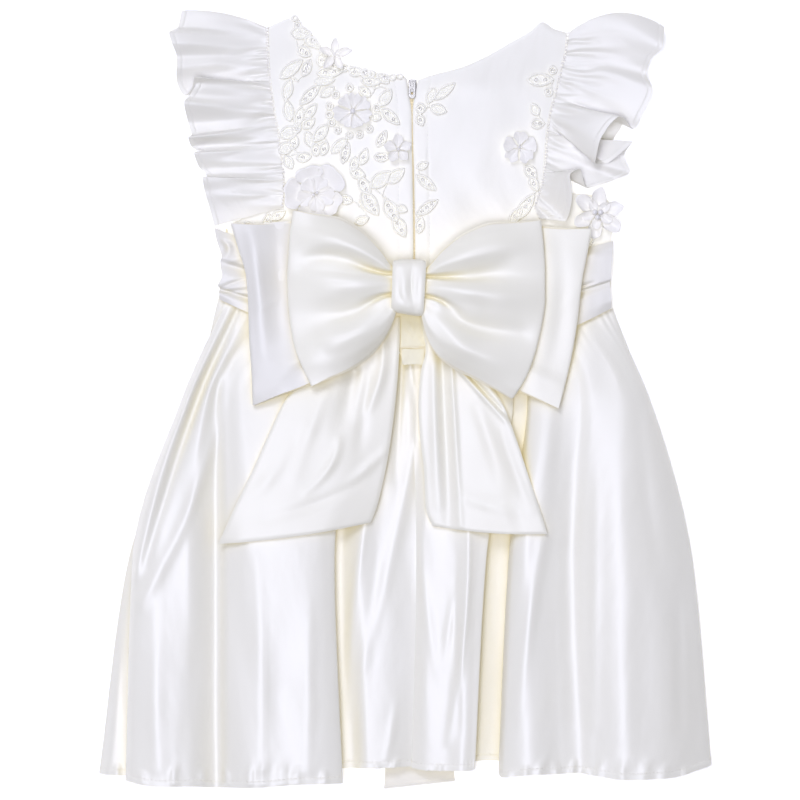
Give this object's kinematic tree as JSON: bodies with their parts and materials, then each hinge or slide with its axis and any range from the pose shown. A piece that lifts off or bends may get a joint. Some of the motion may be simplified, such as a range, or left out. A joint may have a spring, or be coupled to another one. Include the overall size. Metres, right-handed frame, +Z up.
{
  "type": "christening gown",
  "caption": "Baby's sleeveless satin christening gown with frilled armholes, lace flowers, a back zip, a sash and a large bow, laid flat with its back up.",
  "frame": {"origin": "middle of the gown's outline, on the surface that it lies on", "axes": "+Y towards the neck, +Z up out of the gown's back, +X to the right as it is seen from above"},
  "size_m": [0.3976, 0.5052, 0.0352],
  "materials": {
    "satin": "ivory white satin, soft sheen",
    "sash_satin": "white satin, soft sheen",
    "lining": "plain woven lining, matte",
    "lace": "embroidered lace with cord outlines",
    "organza": "sheer stiffened petals",
    "zip_tape": "woven polyester tape",
    "zip_metal": "small bright metal slider"
  },
  "bodies": {
    "gown": {"skirt_front": "satin", "skirt_back_left": "satin", "skirt_back_right": "satin", "bodice_front": "satin", "bodice_back_left": "satin", "bodice_back_right": "satin", "frill_left": "satin", "frill_right": "satin", "sash_front": "sash_satin", "sash_left": "sash_satin", "sash_right": "sash_satin", "bow_knot": "sash_satin", "bow_back_loop_left": "sash_satin", "bow_back_loop_right": "sash_satin", "bow_front_loop_left": "sash_satin", "bow_front_loop_right": "sash_satin", "bow_tail_left": "sash_satin", "bow_tail_right": "sash_satin", "skirt_lining": "lining", "lace_armhole_left": "lace", "lace_armhole_right": "lace", "lace_bow_left": "lace", "lace_centre_left": "lace", "lace_hip_right": "lace", "lace_inner_left": "lace", "lace_low_left": "lace", "lace_lower_right": "lace", "lace_mid_left": "lace", "lace_neck_left": "lace", "lace_shoulder_left": "lace", "lace_shoulder_right": "lace", "lace_side_left": "lace", "lace_side_right": "lace", "lace_under_left": "lace", "lace_upper_right": "lace", "lace_waist_left": "lace", "lace_zip_left": "lace", "lace_zip_right": "lace", "flower_left": "organza", "flower_neck": "organza", "flower_right": "organza", "flower_side": "organza", "flower_waist": "organza", "flower_zip": "organza", "zip_tape": "zip_tape", "zip_slider": "zip_metal"},
    "zip_pull": {"zip_pull": "zip_metal"}
  },
  "joints": [
    {"name": "pull_hinge", "type": "hinge", "parent": "gown", "child": "zip_pull", "pos_m": [0.00445, 0.20615, 0.00665], "axis": [-1, 0, 0], "range_deg": [0, 160]}
  ]
}
